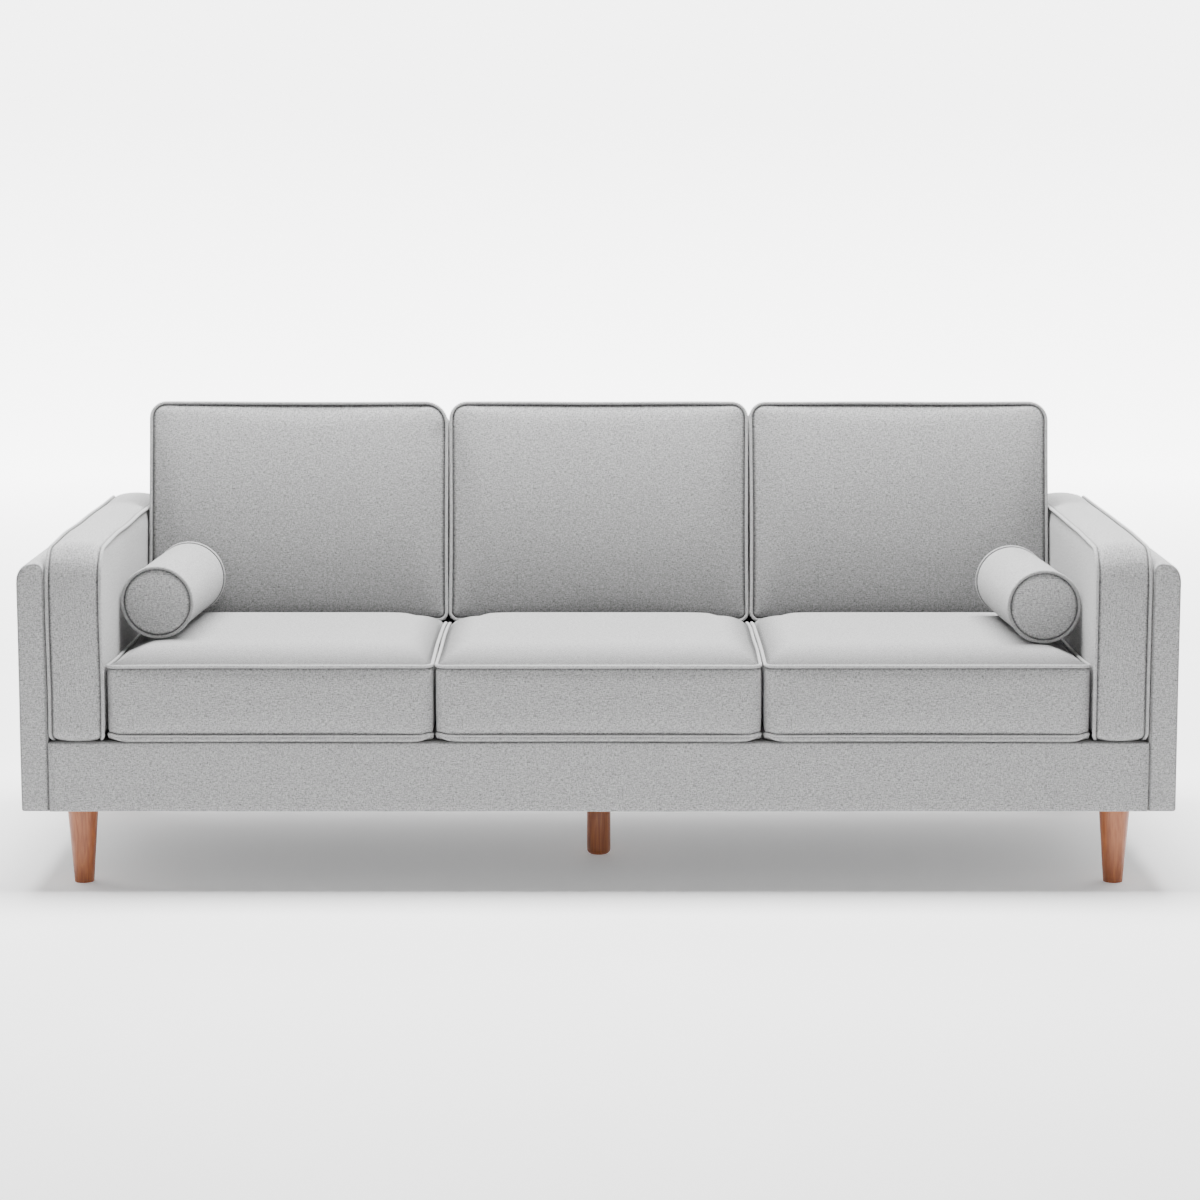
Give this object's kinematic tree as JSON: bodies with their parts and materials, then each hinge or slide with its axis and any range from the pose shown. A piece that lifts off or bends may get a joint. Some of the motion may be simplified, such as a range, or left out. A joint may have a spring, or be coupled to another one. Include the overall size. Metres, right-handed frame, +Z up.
{
  "type": "three-seat sofa with wooden legs",
  "caption": "Sofa with boxed, piped seat and back cushions, loose round bolsters, padded arms and turned wooden legs.",
  "frame": {"origin": "centre of the bounding box's footprint, on the floor", "axes": "+X along the sofa's length, to the right for a viewer in front of it; the front faces -Y; +Z up"},
  "size_m": [2.166, 0.88, 0.87],
  "materials": {
    "pine": "matte",
    "plywood": "matte",
    "hardboard": "matte",
    "zinc_steel": "satin",
    "stained_wood": "satin",
    "webbing": "matte",
    "dust_cloth": "matte",
    "foam": "matte",
    "deck_cloth": "matte",
    "upholstery": "matte"
  },
  "bodies": {
    "frame": {"front_rail": "pine", "rear_rail": "pine", "side_rail_left": "plywood", "side_rail_right": "plywood", "center_rail": "pine", "corner_blocks": "pine", "leg_plates": "zinc_steel", "leg_plate_screws": "zinc_steel", "hanger_bolts": "zinc_steel", "leg_front_left": "stained_wood", "leg_front_right": "stained_wood", "leg_rear_left": "stained_wood", "leg_rear_right": "stained_wood", "leg_center": "stained_wood", "seat_webbing": "webbing", "deck_pad": "foam", "deck_cover": "deck_cloth", "apron_foam": "foam", "apron_cover": "upholstery", "rear_base_cover": "upholstery", "dust_cover": "dust_cloth", "back_posts": "plywood", "back_top_rail": "pine", "back_lower_rails": "pine", "back_webbing": "webbing", "back_panel": "hardboard", "back_foam": "foam", "back_cover": "upholstery", "back_bolts": "zinc_steel", "arm_posts_left": "pine", "arm_posts_right": "pine", "arm_rails_left": "pine", "arm_rails_right": "pine", "arm_skins_left": "hardboard", "arm_skins_right": "hardboard", "arm_cover_left": "upholstery", "arm_cover_right": "upholstery", "pad_board_left": "plywood", "pad_board_right": "plywood", "pad_foam_left": "foam", "pad_foam_right": "foam", "pad_cover_left": "upholstery", "pad_cover_right": "upholstery", "arm_bolts": "zinc_steel"},
    "seat_left": {"seat_cover_left": "upholstery", "seat_core_left": "foam"},
    "seat_center": {"seat_cover_center": "upholstery", "seat_core_center": "foam"},
    "seat_right": {"seat_cover_right": "upholstery", "seat_core_right": "foam"},
    "back_cushion_left": {"back_cushion_cover_left": "upholstery", "back_cushion_core_left": "foam"},
    "back_cushion_center": {"back_cushion_cover_center": "upholstery", "back_cushion_core_center": "foam"},
    "back_cushion_right": {"back_cushion_cover_right": "upholstery", "back_cushion_core_right": "foam"},
    "bolster_left": {"bolster_cover_left": "upholstery", "bolster_core_left": "foam"},
    "bolster_right": {"bolster_cover_right": "upholstery", "bolster_core_right": "foam"}
  },
  "joints": [
    {"name": "seat_left_slide", "type": "slide", "parent": "frame", "child": "seat_left", "axis": [0, -1, 0], "range_m": [0, 0.73]},
    {"name": "seat_center_slide", "type": "slide", "parent": "frame", "child": "seat_center", "axis": [0, -1, 0], "range_m": [0, 0.73]},
    {"name": "seat_right_slide", "type": "slide", "parent": "frame", "child": "seat_right", "axis": [0, -1, 0], "range_m": [0, 0.73]},
    {"name": "back_cushion_left_lift", "type": "slide", "parent": "frame", "child": "back_cushion_left", "axis": [0, 0, 1], "range_m": [0, 0.45]},
    {"name": "back_cushion_center_lift", "type": "slide", "parent": "frame", "child": "back_cushion_center", "axis": [0, 0, 1], "range_m": [0, 0.45]},
    {"name": "back_cushion_right_lift", "type": "slide", "parent": "frame", "child": "back_cushion_right", "axis": [0, 0, 1], "range_m": [0, 0.45]},
    {"name": "bolster_left_lift", "type": "slide", "parent": "seat_left", "child": "bolster_left", "axis": [0, 0, 1], "range_m": [0, 0.45]},
    {"name": "bolster_right_lift", "type": "slide", "parent": "seat_right", "child": "bolster_right", "axis": [0, 0, 1], "range_m": [0, 0.45]}
  ]
}
